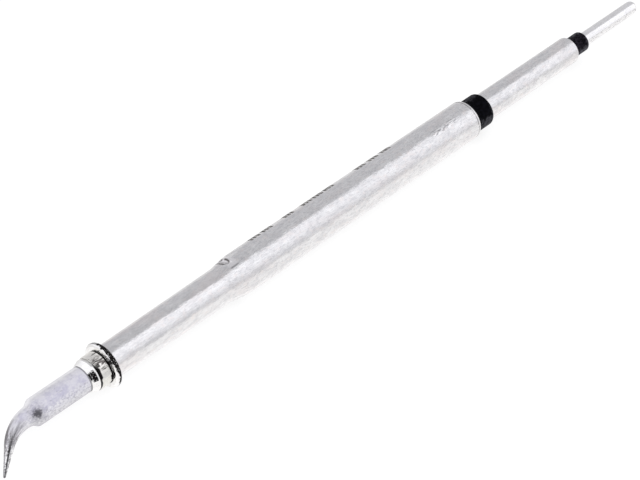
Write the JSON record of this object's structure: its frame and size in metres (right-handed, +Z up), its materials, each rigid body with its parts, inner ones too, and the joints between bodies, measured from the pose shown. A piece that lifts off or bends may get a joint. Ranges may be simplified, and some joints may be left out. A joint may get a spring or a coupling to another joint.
{
  "type": "cartridge soldering tip",
  "caption": "Cartridge soldering tip lying on its side: bent conical point, flanged collar, stepped steel tube, and a sleeve and pin contact behind black insulators.",
  "frame": {"origin": "on the cartridge's axis, in the middle of the straight barrel", "axes": "+X along the cartridge's axis towards the rear contact pin, +Z up as the cartridge lies"},
  "size_m": [0.0882, 0.0045, 0.0044],
  "materials": {
    "plated_tip": "matt plated",
    "polished_plate": "polished",
    "tube_steel": "satin",
    "contact_steel": "satin",
    "contact_plate": "bright",
    "black_insulator": "matt",
    "ceramic": "matt",
    "resistance_wire": "satin",
    "lead_wire": "satin",
    "insulating_tube": "matt"
  },
  "bodies": {
    "root": {"tip_body": "plated_tip", "front_collar": "polished_plate", "outer_tube": "tube_steel", "front_insulator": "black_insulator", "contact_sleeve": "contact_steel", "rear_insulator": "black_insulator", "contact_pin": "contact_plate", "heater_core": "ceramic", "heater_coil": "resistance_wire", "heater_sleeve": "ceramic", "heater_bush": "ceramic", "heater_lead": "lead_wire", "heater_lead_tube": "insulating_tube", "sensor_lead": "lead_wire", "sensor_lead_tube": "insulating_tube", "neck_spacer": "ceramic", "barrel_liner": "insulating_tube", "sleeve_spacer": "insulating_tube"}
  },
  "joints": []
}
